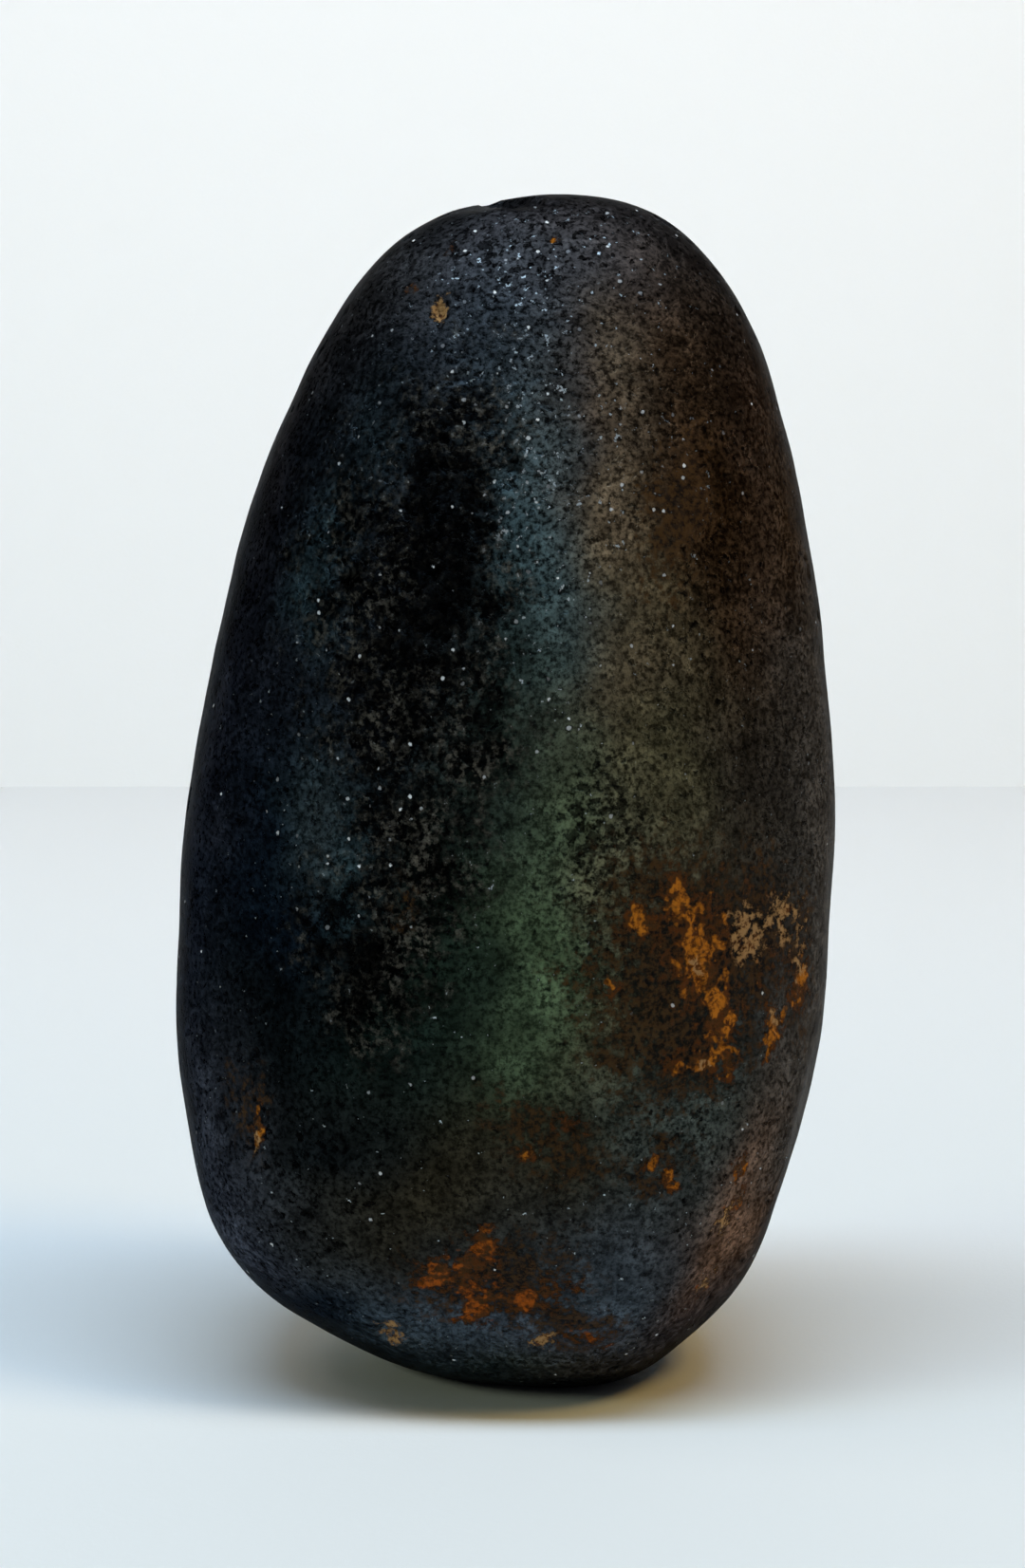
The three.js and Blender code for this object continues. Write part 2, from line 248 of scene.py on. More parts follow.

# Where each tint of the stone lies, later ones over earlier ones. The names are those in StoneFinish.
# The tints are partly the stone's own colours and partly painted light: the left flank painted darker
# and bluer as painted shade and cool light, the right flank browner as painted warm light, the ridge and
# the upper left rim paler as a painted highlight, and the rims and the underside paler grey-violet and
# blue as a painted reflection of the white paper.
Tint = namedtuple("Tint", "colour azimuth rise across tall turn strength")
TINTS_AND_PAINTED_LIGHT = (
    Tint("crown", 290, 84, 22, 8, 0, 0.9),
    Tint("denim", 220, 42, 10, 18, 8, 0.9),
    # Painted reflection of the white paper: the paler violet of the left rim.
    Tint("violet", 203, 5, 7, 34, 0, 0.9),
    Tint("navy", 213, 5, 5, 8, 0, 0.95),
    Tint("violet", 200, 14, 3, 16, 0, 0.8),
    Tint("navy", 216, -12, 8, 10, 0, 1.0),
    Tint("pitch", 216, -22, 5, 6, 0, 0.95),
    Tint("pitch", 228, -34, 9, 9, 0, 0.95),
    Tint("aqua", 231, -2, 2.8, 4.6, 20, 0.9),
    Tint("navy", 220, -8, 3, 4, 0, 0.85),
    Tint("aqua", 224, 9, 3, 4, 0, 0.6),
    Tint("ash", 224, 8, 2.6, 3.6, 0, 0.35),
    Tint("lilac", 200, 14, 2.6, 10, 0, 0.35),
    Tint("aqua", 222, 45, 3, 5, 0, 0.65),
    Tint("aqua", 229, 61, 3, 4, 0, 0.35),
    Tint("dusk", 250, 75, 9, 6, 0, 0.85),
    Tint("ash", 205, 73.5, 4.2, 5.6, 0, 0.85),
    Tint("crown", 196, 58, 3.4, 10, 0, 0.7),
    Tint("blue", 266, 68, 5, 6, 0, 0.9),
    Tint("teal", 271, 30, 5, 9, 0, 0.9),
    Tint("sage", 282, 45, 3.2, 16, 0, 0.8),
    Tint("ash", 283, 61.5, 2.6, 4.4, 0, 0.6),
    Tint("aqua", 272, 53, 4.2, 11, 0, 0.85),
    Tint("aqua", 265, 48, 2.6, 4, 0, 0.4),
    Tint("green", 272, 10, 7, 12, 0, 0.9),
    Tint("moor", 263, 30, 2.8, 7, 0, 0.6),
    Tint("brown", 314, 68, 9, 8, 8, 0.8),
    Tint("umber", 325, 68, 4, 5, 0, 0.5),
    Tint("umber", 316, 38, 8, 12, 0, 0.95),
    Tint("clay", 330, 54, 4, 7, 0, 0.8),
    Tint("dusk", 279, 76, 8, 3.6, 0, 0.8),
    Tint("dusk", 284, 69, 2.6, 3, 0, 0.4),
    Tint("earth", 314, 14, 8, 12, 0, 0.9),
    Tint("olive", 294, 41, 2.8, 8, 0, 0.75),
    Tint("olive", 297, 22, 3.8, 12, 0, 0.9),
    Tint("fawn", 293, 35.5, 4, 3.6, 0, 0.5),
    Tint("brown", 311, 55, 6, 8.6, 6, 0.95),
    Tint("fawn", 298, 67.5, 2.2, 3.4, 0, 0.45),
    Tint("fawn", 291.5, 55, 1.7, 5.0, 0, 0.9),
    Tint("fern", 278, 14, 3.5, 6, 0, 0.6),
    Tint("moor", 258, -7, 3.4, 4, 0, 0.85),
    Tint("moor", 253, -21, 6, 9, 8, 0.95),
    Tint("fern", 275, -34, 8, 8, 0, 0.9),
    Tint("moor", 246, -32, 7, 5, 0, 0.85),
    Tint("moss", 270, -20, 3.1, 7.6, 10, 1.0),
    Tint("moor", 257, -19, 2.4, 6, 0, 0.6),
    Tint("olive", 285, -5, 2.6, 4, 0, 0.5),
    Tint("olive", 285, -30, 3.0, 4, 0, 0.7),
    Tint("moor", 250, -40, 7, 6, 0, 0.7),
    Tint("peat", 247, -50, 11, 5, 0, 0.85),
    Tint("peat", 273, -48, 8, 4, 0, 0.8),
    Tint("slate", 304, -42, 7, 6, 0, 0.85),
    Tint("steel", 294, -57, 9, 5, 0, 1.0),
    Tint("clay", 320, -55.5, 4.0, 8, 12, 0.95),
    # Painted reflection of the white paper: the paler indigo, lilac, ash and aqua along the underside.
    Tint("indigo", 250, -69, 11, 3.6, 0, 0.95),
    Tint("lilac", 290, -69, 9, 3.4, 0, 0.9),
    Tint("ash", 268, -72, 7, 2.2, 0, 0.9),
    Tint("aqua", 257, -71, 5, 2.0, 0, 0.5),
    Tint("lilac", 207, -50, 4, 8, 0, 0.9),
    Tint("lilac", 202, -34, 3, 9, 0, 0.4),
    Tint("pitch", 230, -44, 7, 4.5, 0, 0.95),
    Tint("navy", 212, -63, 4, 2.5, 0, 0.85),
    # Painted reflection of the white paper: the paler warm grey of the right rim.
    Tint("rim", 343, 10, 4.6, 30, 0, 0.9),
    Tint("rim", 338, -40, 5, 10, 0, 0.7),
    Tint("umber", 338, 50, 4, 5, 0, 0.7),
    Tint("navy", 130, 30, 14, 24, 0, 0.8),
    Tint("teal", 95, 10, 10, 26, 10, 0.8),
    Tint("green", 100, -20, 7, 12, 0, 0.7),
    Tint("brown", 45, 30, 12, 20, 0, 0.8),
    Tint("slate", 60, -35, 14, 12, 0, 0.7),
    Tint("violet", 150, -40, 12, 12, 0, 0.7),
)

# The lights: place, aim and size in millimetres, size as wide by high, and power in watts.
# mirrored says whether it shows in shiny surfaces, and cast whether it lights matt ones.
Light = namedtuple("Light", "name place aim size power colour mirrored cast")
MIDDLE = (0, 0, 40)
LIGHTS = (
    Light("overhead glow", (0, -40, 640), MIDDLE, (620, 130), 2.3, (0.66, 0.82, 1.0), True, False),
    Light("overhead light", (0, -120, 640), MIDDLE, (620, 130), 4.05, (0.56, 0.72, 0.88), False, True),
    Light("left light", (-400, 0, 560), MIDDLE, (200, 200), 0.4, (1.0, 0.9, 0.8), False, True),
    Light("low left light", (-560, -250, 300), MIDDLE, (160, 160), 0.6, (0.9, 1.0, 0.7), False, True),
    Light("warm right light", (408, -190, 576), MIDDLE, (160, 160), 1.3, (1.0, 0.67, 0.21), False, True),
    Light("front window", (50, -560, 300), MIDDLE, (130, 600), 0.5, (1.0, 1.0, 1.0), True, False),
    Light("wall wash", (0, 120, 420), (0, 500, 330), (700, 120), 1.1, (1.0, 0.92, 0.86), True, True),
)


class StoneShape(bpy.types.PropertyGroup):
    """Sizes of the finely divided surface and of the relief on it."""

    length_cuts: bpy.props.IntProperty(
        name="Cuts along the length",
        description="How many strips of faces run round the stone, up its sides",
        default=196,
        min=20,
    )
    girth_cuts: bpy.props.IntProperty(
        name="Cuts round the girth",
        description="How many strips of faces run up each side of the stone",
        default=98,
        min=10,
    )
    wear: bpy.props.IntProperty(
        name="Wear",
        description="How many times the surface is smoothed, which rounds the edges of the plain solid",
        default=40,
        min=0,
    )
    swell: bpy.props.FloatProperty(
        name="Swell height",
        description="Height of the soft unevenness all over the stone",
        default=0.30 * MM,
        subtype="DISTANCE",
        precision=6,
    )
    rough_depth: bpy.props.FloatProperty(
        name="Rough patch depth",
        description="Depth of the pits in the black, rough places",
        default=0.34 * MM,
        subtype="DISTANCE",
        precision=6,
    )
    pit_depth: bpy.props.FloatProperty(
        name="Pit depth",
        description="Depth of the scattered small pits",
        default=0.20 * MM,
        subtype="DISTANCE",
        precision=6,
    )
    chip_depth: bpy.props.FloatProperty(
        name="Chip depth",
        description="Depth of the chips and nicks",
        default=0.55 * MM,
        subtype="DISTANCE",
        precision=6,
    )
    crust_height: bpy.props.FloatProperty(
        name="Crust height",
        description="Height of the crumbs in the rusty places",
        default=0.22 * MM,
        subtype="DISTANCE",
        precision=6,
    )


def colour_property(name, description, default):
    """A colour that a user can change."""
    return bpy.props.FloatVectorProperty(
        name=name, description=description, default=default, subtype="COLOR", size=3, min=0.0, max=1.0
    )


class StoneFinish(bpy.types.PropertyGroup):
    """Colours of the stone, many of them partly painted light, and how glossy it is."""

    # Many of these tints are partly painted light: navy is partly painted shade and denim partly painted
    # cool light on the left flank; brown, umber and earth are partly painted warm light on the right
    # flank; blue, aqua, teal and moss are partly a painted highlight along the ridge; ash is partly a
    # painted highlight on the upper left rim; violet, lilac, rim and indigo are partly a painted
    # reflection of the white paper on the rims and underside.
    body: colour_property("Body", "Worn surface where no other tint lies", (0.020, 0.024, 0.026))
    navy: colour_property("Navy", "Near-black blue of the left side", (0.005, 0.010, 0.018))
    denim: colour_property("Denim", "Muted blue of the upper left flank", (0.028, 0.036, 0.048))
    pitch: colour_property("Pitch", "Darkest part of the lower left", (0.005, 0.007, 0.008))
    dusk: colour_property("Dusk", "Dark grey of the front of the crown", (0.024, 0.025, 0.027))
    crown: colour_property("Crown", "Violet-grey of the crown", (0.034, 0.029, 0.029))
    ash: colour_property("Ash", "Pale grey of the upper left rim and ridge", (0.074, 0.070, 0.068))
    blue: colour_property("Blue", "Steel blue of the upper ridge", (0.033, 0.048, 0.060))
    aqua: colour_property("Aqua", "Brightest blue-green of the ridge", (0.052, 0.098, 0.112))
    teal: colour_property("Teal", "Blue-green of the middle of the ridge", (0.034, 0.060, 0.060))
    sage: colour_property("Sage", "Grey-green right of the ridge", (0.062, 0.068, 0.054))
    green: colour_property("Green", "Dull green of the ridge", (0.042, 0.060, 0.042))
    moss: colour_property("Moss", "Brightest green of the lower ridge", (0.068, 0.104, 0.054))
    fern: colour_property("Fern", "Dark green under the ridge", (0.042, 0.056, 0.027))
    moor: colour_property("Moor", "Green-black left of the lower ridge", (0.005, 0.011, 0.009))
    peat: colour_property("Peat", "Brown-black low in front", (0.020, 0.015, 0.006))
    olive: colour_property("Olive", "Olive brown right of the ridge", (0.110, 0.096, 0.050))
    brown: colour_property("Brown", "Deep brown of the right flank", (0.064, 0.031, 0.012))
    umber: colour_property("Umber", "Paler brown near the right rim", (0.096, 0.054, 0.028))
    fawn: colour_property("Fawn", "Pale brown of the upper right", (0.165, 0.122, 0.075))
    earth: colour_property("Earth", "Brown-grey of the right side", (0.045, 0.038, 0.028))
    slate: colour_property("Slate", "Green-grey of the lower right", (0.044, 0.053, 0.046))
    steel: colour_property("Steel", "Dark grey of the lower right", (0.026, 0.029, 0.031))
    clay: colour_property("Clay", "Warm grey of the heel", (0.160, 0.088, 0.054))
    indigo: colour_property("Indigo", "Blue of the underside", (0.062, 0.092, 0.122))
    lilac: colour_property("Lilac", "Violet-grey low on both sides", (0.052, 0.056, 0.070))
    violet: colour_property("Violet", "Dark violet of the left rim", (0.019, 0.021, 0.029))
    rim: colour_property("Rim", "Warm grey of the right rim", (0.112, 0.094, 0.078))
    black: colour_property("Black", "Bottom of pits and of the rough patch", (0.0012, 0.0012, 0.0013))
    grit: colour_property("Grit", "Brown-grey grains in the rough patch", (0.150, 0.138, 0.110))
    fleck: colour_property("Fleck", "Paler grains in the surface", (0.420, 0.470, 0.490))
    # Painted glints: a pale, matt colour that stands in for crystal faces catching the light.
    painted_glint: colour_property("Glint", "Crystal faces that catch the light", (0.80, 0.82, 0.84))
    stain: colour_property("Stain", "Dark brown round the rust", (0.050, 0.024, 0.007))
    rust_dark: colour_property("Dark rust", "Darker part of the rust", (0.085, 0.027, 0.006))
    rust: colour_property("Rust", "Brighter part of the rust", (0.430, 0.145, 0.012))
    ruddy: colour_property("Ruddy rust", "Brighter, redder rust at the foot", (0.320, 0.075, 0.007))
    ochre: colour_property("Ochre", "Pale crumbs on the rust", (0.340, 0.195, 0.080))
    gloss: bpy.props.FloatProperty(
        name="Specular level",
        description="Strength of the mirror reflection of rust and glints",
        default=0.20,
        min=0.0,
        max=1.0,
        subtype="FACTOR",
    )
    edge_shine: bpy.props.FloatProperty(
        name="Edge shine",
        description="How strongly the worn surface reflects where it is seen edge-on",
        default=0.38,
        min=0.0,
        max=1.0,
        subtype="FACTOR",
    )


class PaperStage(bpy.types.PropertyGroup):
    """The sheet of paper and the camera."""

    paper: colour_property("Paper", "Colour of the sheet", (0.86, 0.88, 0.90))
    fold_distance: bpy.props.FloatProperty(
        name="Fold distance",
        description="How far behind the stone the sheet starts to rise",
        default=355 * MM,
        subtype="DISTANCE",
    )
    camera_distance: bpy.props.FloatProperty(
        name="Camera distance",
        description="How far in front of the stone's middle the camera stands",
        default=253 * MM,
        subtype="DISTANCE",
    )
    camera_height: bpy.props.FloatProperty(
        name="Camera height",
        description="Height of the camera above the sheet",
        default=77.3 * MM,
        subtype="DISTANCE",
    )
    camera_shift: bpy.props.FloatProperty(
        name="Camera shift",
        description="How far to the right of the stone's middle the camera stands",
        default=0.56 * MM,
        subtype="DISTANCE",
        precision=6,
    )
    camera_dip: bpy.props.FloatProperty(
        name="Camera dip",
        description="How far the camera looks down",
        default=math.radians(7.2),
        subtype="ANGLE",
    )
    camera_lens: bpy.props.FloatProperty(
        name="Camera lens",
        description="Focal length, in millimetres, for a picture 36 millimetres on its long side",
        default=76.3,
    )


def place(spot):
    """A spot's centre on the solid, its outward way and the two ways along the surface, in metres."""
    azimuth = math.radians(spot.azimuth)
    rise = math.radians(spot.rise)
    turn = math.radians(spot.turn)
    level = math.cos(rise)
    outward = Vector((level * math.cos(azimuth), level * math.sin(azimuth), math.sin(rise)))
    found, centre, *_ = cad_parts["stone"].ray_cast(HEART * MM, outward)
    if not found:
        raise RuntimeError(f"spot at {spot.azimuth}, {spot.rise} misses the stone")
    sideways = Vector((-math.sin(azimuth), math.cos(azimuth), 0.0))
    upward = outward.cross(sideways)
    across_way = sideways * math.cos(turn) - upward * math.sin(turn)
    tall_way = upward * math.cos(turn) + sideways * math.sin(turn)
    return centre, outward, across_way, tall_way


def spread(points, spot):
    """How much of a spot reaches each point: 1 at its centre, 0.37 at its edge, 0 far off."""
    centre, outward, across_way, tall_way = place(spot)
    offset = (points - np.array(centre)) / MM
    u = offset @ np.array(across_way) / spot.across
    v = offset @ np.array(tall_way) / spot.tall
    inward = offset @ np.array(outward) / SPOT_DEPTH
    return np.exp(-(u * u + v * v + inward * inward))


def cover(points, spots):
    """How strongly the spots together cover each point, from 0 to 1."""
    bare = np.ones(len(points))
    for spot in spots:
        bare *= 1.0 - spot.strength * spread(points, spot)
    return 1.0 - bare


def lumps(points, size, octaves, seed):
    """Smooth noise at each point, about -1 to 1, with lumps about size millimetres across."""
    shift = Vector((seed, 1.7 * seed, 0.3 * seed))
    scale = 1.0 / (size * MM)
    return np.array([noise.fractal(Vector(p) * scale + shift, 1.0, 2.0, octaves) for p in points])


def strayed(points, size, reach, seed):
    """The points moved about by smooth noise, so that spots laid on them get uneven edges."""
    wander = np.column_stack([lumps(points, size, 3, seed + step) for step in (0.0, 10.0, 20.0)])
    return points + wander * reach * MM


def ease(values, low, high):
    """Rises smoothly from 0 at low to 1 at high."""
    t = np.clip((values - low) / (high - low), 0.0, 1.0)
    return t * t * (3.0 - 2.0 * t)


def deselect_all():
    """Leaves nothing selected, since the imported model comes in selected."""
    bpy.ops.object.select_all(action="DESELECT")


def clear_mesh(mesh):
    """Leaves no face, edge or corner of a mesh selected."""
    for elements in (mesh.polygons, mesh.edges, mesh.vertices):
        for element in elements:
            element.select = False


def make_active(piece):
    """Selects one piece alone, for the operators that follow."""
    deselect_all()
    piece.select_set(True)
    bpy.context.view_layer.objects.active = piece


def apply_modifier(piece, kind, **settings):
    """Adds a modifier to the active piece and applies it."""
    modifier = piece.modifiers.new(kind.title(), kind)
    for key, value in settings.items():
        setattr(modifier, key, value)
    bpy.ops.object.modifier_apply(modifier=modifier.name)


def cut_along(piece, axis, cuts):
    """Divides the edges of a box that run along one axis."""
    mesh = piece.data
    bpy.ops.mesh.select_all(action="DESELECT")
    bpy.ops.object.mode_set(mode="OBJECT")
    for edge in mesh.edges:
        start, end = (mesh.vertices[i].co for i in edge.vertices)
        run = end - start
        edge.select = abs(run[axis]) > 0.5 * run.length
    bpy.ops.object.mode_set(mode="EDIT")
    bpy.ops.mesh.subdivide(number_cuts=cuts)


def divided_ball(shape):
    """A ball of small four-sided faces, finer along its height, which is stretched later."""
    deselect_all()
    bpy.ops.mesh.primitive_cube_add(size=2.0, location=(0.0, 0.0, 0.0))
    ball = bpy.context.object
    bpy.ops.object.mode_set(mode="EDIT")
    bpy.ops.mesh.select_mode(type="EDGE")
    cut_along(ball, 0, shape.girth_cuts - 1)
    cut_along(ball, 1, shape.girth_cuts - 1)
    # Halved first, so that neither step makes more than 100 cuts.
    cut_along(ball, 2, 1)
    cut_along(ball, 2, shape.length_cuts // 2 - 1)
    bpy.ops.object.mode_set(mode="OBJECT")
    make_active(ball)
    apply_modifier(ball, "CAST", cast_type="SPHERE", factor=1.0)
    return ball


def merged_solid():
    """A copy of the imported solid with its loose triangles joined, for the surface to settle on."""
    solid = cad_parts["stone"].copy()
    solid.data = solid.data.copy()
    bpy.context.collection.objects.link(solid)
    make_active(solid)
    bpy.ops.object.mode_set(mode="EDIT")
    bpy.ops.mesh.select_all(action="SELECT")
    bpy.ops.mesh.remove_doubles(threshold=0.001 * MM)
    bpy.ops.object.mode_set(mode="OBJECT")
    return solid


def settle_on_solid(ball, shape):
    """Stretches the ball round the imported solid, lays it on the surface and wears off the facets."""
    low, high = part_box("stone")
    solid = merged_solid()
    make_active(ball)
    radius = max(vertex.co.length for vertex in ball.data.vertices)
    looseness = 1.1
    ball.location = (low + high) / 2
    ball.scale = (high - low) / 2 * looseness / radius
    bpy.ops.object.transform_apply(location=True, rotation=True, scale=True)
    apply_modifier(ball, "SHRINKWRAP", target=solid, wrap_method="NEAREST_SURFACEPOINT")
    apply_modifier(ball, "SMOOTH", factor=0.5, iterations=shape.wear)
    bpy.data.objects.remove(solid)


def points_of(piece):
    """The piece's points as an array, in metres."""
    flat = np.empty(len(piece.data.vertices) * 3)
    piece.data.vertices.foreach_get("co", flat)
    return flat.reshape(-1, 3)


def raise_by(piece, name, weights, height):
    """Moves the surface out by height where weights is 1, or in where height is negative."""
    group = piece.vertex_groups.new(name=name)
    for index in np.flatnonzero(weights > 0.001):
        group.add([int(index)], float(weights[index]), "REPLACE")
    apply_modifier(piece, "DISPLACE", vertex_group=name, strength=height, mid_level=0.0)
    piece.vertex_groups.clear()


def keep_mark(piece, name, values):
    """Stores a number for each point, which the finish reads by name."""
    mark = piece.data.attributes.new(name, "FLOAT", "POINT")
    mark.data.foreach_set("value", np.clip(values, 0.0, 1.0))


def keep_colour(piece, name, colours):
    """Stores a colour for each point, which the finish reads by name."""
    mark = piece.data.attributes.new(name, "FLOAT_COLOR", "POINT")
    with_alpha = np.column_stack([colours, np.ones(len(colours))])
    mark.data.foreach_set("color", with_alpha.ravel())


def tinted_with_painted_light(points, finish):
    """The colour of the worn stone at each point, blended from its tints, which hold painted shade,
    painted highlight and painted reflection as well as the stone's own colours.
    """
    loose = strayed(points, size=9.0, reach=2.2, seed=3.0)
    colours = np.tile(np.array(finish.body), (len(points), 1))
    for tint in TINTS_AND_PAINTED_LIGHT:
        weight = (tint.strength * spread(loose, tint))[:, None]
        colours += weight * (np.array(getattr(finish, tint.colour)) - colours)
    return colours


def carve(piece, shape):
    """Raises and sinks the surface, and stores where each kind of mark lies."""
    points = points_of(piece)
    fine = lumps(points, size=1.0, octaves=4, seed=1.0)
    coarse = lumps(points, size=3.2, octaves=4, seed=2.0)
    crumbs = lumps(points, size=0.9, octaves=3, seed=5.0)
    pocks = lumps(points, size=1.1, octaves=2, seed=7.0)
    swell = 0.5 + 0.5 * lumps(points, size=11.0, octaves=3, seed=9.0)
    loose = strayed(points, size=4.0, reach=1.5, seed=31.0)
    tight = strayed(points, size=1.6, reach=0.55, seed=41.0)
    height = points[:, 2]
    clear_of_foot = ease(height, 0.6 * MM, 3.0 * MM)

    rough = cover(loose, ROUGH_SPOTS)
    rough_pits = ease(rough + 0.45 * coarse + 0.40 * fine, 0.55, 1.15) * ease(rough, 0.15, 0.6)
    pitted = np.maximum(cover(loose, PITTED_SPOTS), 0.8 * rough)
    pits = ease(pocks + 0.30 * pitted, 0.60, 0.85)
    chips = ease(cover(tight, CHIP_SPOTS) + 0.10 * fine, 0.30, 0.62)
    rust = cover(tight, RUST_SPOTS)
    ochre = cover(tight, OCHRE_SPOTS)
    crusted = ease(np.maximum(rust, ochre) + 0.12 * crumbs, 0.30, 0.60)

    raise_by(piece, "swell", np.clip(swell, 0.0, 1.0) * clear_of_foot, -shape.swell)
    raise_by(piece, "rough", rough_pits * (0.65 + 0.35 * fine) * clear_of_foot, -shape.rough_depth)
    raise_by(piece, "pits", pits * clear_of_foot, -shape.pit_depth)
    raise_by(piece, "chips", chips * clear_of_foot, -shape.chip_depth)
    raise_by(piece, "crust", crusted * (0.5 + 0.9 * crumbs) * clear_of_foot, shape.crust_height)
    raise_by(piece, "crust bed", crusted * clear_of_foot, -0.6 * shape.crust_height)

    keep_mark(piece, "rough", rough)
    keep_mark(piece, "plain_black", cover(loose, PLAIN_BLACK_SPOTS))
    keep_mark(piece, "hollow", np.maximum(pits, 0.8 * rough_pits))
    keep_mark(piece, "pitted", pitted)
    keep_mark(piece, "glinting", cover(loose, GLINT_SPOTS))
    keep_mark(piece, "stained", cover(loose, STAIN_SPOTS))
    keep_mark(piece, "rusty", rust)
    keep_mark(piece, "ochre", ochre)
    keep_mark(piece, "ruddy", 1.0 - ease(height, 12.0 * MM, 22.0 * MM))


def fill_box(piece):
    """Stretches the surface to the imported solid's size, because wearing it off shrinks it a little."""
    gap = 0.01 * MM
    points = points_of(piece)
    low, high = points.min(axis=0), points.max(axis=0)
    solid_low, solid_high = (np.array(corner) for corner in CAD_BOX)
    stretch = (solid_high - solid_low - 2 * gap) / (high - low)
    piece.scale = stretch
    piece.location = solid_low + gap - low * stretch
    make_active(piece)
    bpy.ops.object.transform_apply(location=True, rotation=True, scale=True)


def flatten_foot(piece):
    """Brings the lowest points level with the surface that the stone stands on."""
    foot_height = 0.03 * MM
    make_active(piece)
    clear_mesh(piece.data)
    for vertex in piece.data.vertices:
        vertex.select = vertex.co.z < foot_height
    bpy.ops.object.mode_set(mode="EDIT")
    bpy.ops.mesh.select_mode(type="VERT")
    bpy.ops.transform.resize(value=(1.0, 1.0, 0.0), center_override=(0.0, 0.0, 0.0))
    bpy.ops.object.mode_set(mode="OBJECT")


class NodeBench:
    """Adds nodes to a material's tree and wires them."""

    def __init__(self, material):
        self.tree = material.node_tree
        self.tree.nodes.clear()

    def add(self, kind, inputs=None, **settings):
        """A new node with its settings, and its inputs set or joined by name or number."""
        made = self.tree.nodes.new(kind)
        for key, value in settings.items():
            setattr(made, key, value)
        for socket, value in (inputs or {}).items():
            self.feed(made.inputs[socket], value)
        return made

    def feed(self, socket, value):
        """Joins a socket to another node's output, or sets it to a plain value."""
        if isinstance(value, bpy.types.NodeSocket):
            self.tree.links.new(value, socket)
        else:
            socket.default_value = value

    def mark(self, name):
        """The number stored for each point under this name."""
        return self.add("ShaderNodeAttribute", attribute_name=name).outputs["Fac"]

    def noise(self, where, size, detail, roughness=0.55):
        """Noise from 0 to 1 with lumps about size millimetres across."""
        inputs = {"Vector": where, "Scale": 1.0 / (size * MM), "Detail": detail, "Roughness": roughness}
        return self.add("ShaderNodeTexNoise", inputs).outputs[0]

    def maths(self, operation, first, second=0.0, clamp=False):
        """A sum, product or the like of two numbers."""
        inputs = {0: first, 1: second}
        return self.add("ShaderNodeMath", inputs, operation=operation, use_clamp=clamp).outputs[0]

    def span(self, value, low, high, to_low=0.0, to_high=1.0, smooth=True):
        """Maps low to high onto to_low to to_high, held at the ends."""
        inputs = {"Value": value, "From Min": low, "From Max": high, "To Min": to_low, "To Max": to_high}
        kind = "SMOOTHSTEP" if smooth else "LINEAR"
        return self.add("ShaderNodeMapRange", inputs, interpolation_type=kind).outputs[0]

    def broken(self, mark, noise_value, amount, low, high):
        """A mark with its edge broken up by noise: 0 below low and where it is faint, 1 above high."""
        swing = self.span(noise_value, 0.3, 0.7, -0.5 * amount, 0.5 * amount, smooth=False)
        uneven = self.span(self.maths("ADD", mark, swing), low, high)
        return self.maths("MULTIPLY", uneven, self.span(mark, 0.04, 0.22))

    def blend(self, factor, first, second, way="MIX"):
        """Mixes two colours by factor."""
        inputs = {0: factor, 6: first, 7: second}
        return self.add("ShaderNodeMix", inputs, data_type="RGBA", blend_type=way).outputs[2]

    def blend_number(self, factor, first, second):
        """Mixes two numbers by factor."""
        return self.add("ShaderNodeMix", {0: factor, 2: first, 3: second}, data_type="FLOAT").outputs[0]


def with_alpha(colour):
    """A colour as a node socket wants it."""
    return (*colour, 1.0)


class StonePatterns:
    """The noise and the stored marks that the layers of the finish share."""

    def __init__(self, bench):
        self.where = bench.add("ShaderNodeTexCoord").outputs["Object"]
        self.patches = bench.noise(self.where, 2.4, 5.0, 0.62)
        self.grains = bench.noise(self.where, 0.42, 3.0, 0.7)
        self.flecks = bench.noise(self.where, 0.55, 3.0, 0.65)
        self.crumbs = bench.noise(self.where, 0.9, 5.0, 0.7)
        self.dust = bench.noise(self.where, 0.45, 3.0, 0.65)
        self.glinting = bench.mark("glinting")
        self.pitted = bench.mark("pitted")


def grained(bench, patterns, finish):
    """The tints, lighter and darker in patches and in fine grains, with paler grains where it glints."""
    tint = bench.add("ShaderNodeAttribute", attribute_name="tint").outputs["Color"]
    patch_gain = bench.span(patterns.patches, 0.30, 0.70, 0.64, 1.38)
    coarse = bench.maths("MAXIMUM", patterns.glinting, patterns.pitted)
    patchy = bench.span(patterns.patches, 0.45, 0.75, 0.1, 0.6)
    uneven = bench.maths("ADD", patchy, coarse, clamp=True)
    soft_grain = bench.span(patterns.grains, 0.34, 0.68, 0.45, 1.60)
    strong_grain = bench.span(patterns.grains, 0.34, 0.68, 0.10, 2.20)
    grain_gain = bench.blend_number(uneven, soft_grain, strong_grain)
    gain = bench.maths("MULTIPLY", patch_gain, grain_gain)
    colour = bench.blend(1.0, tint, gain, "MULTIPLY")

    lift = bench.span(patterns.glinting, 0.0, 1.0, -0.02, 0.05, smooth=False)
    pale = bench.span(bench.maths("ADD", patterns.flecks, lift), 0.67, 0.72)
    return bench.blend(pale, colour, with_alpha(finish.fleck))


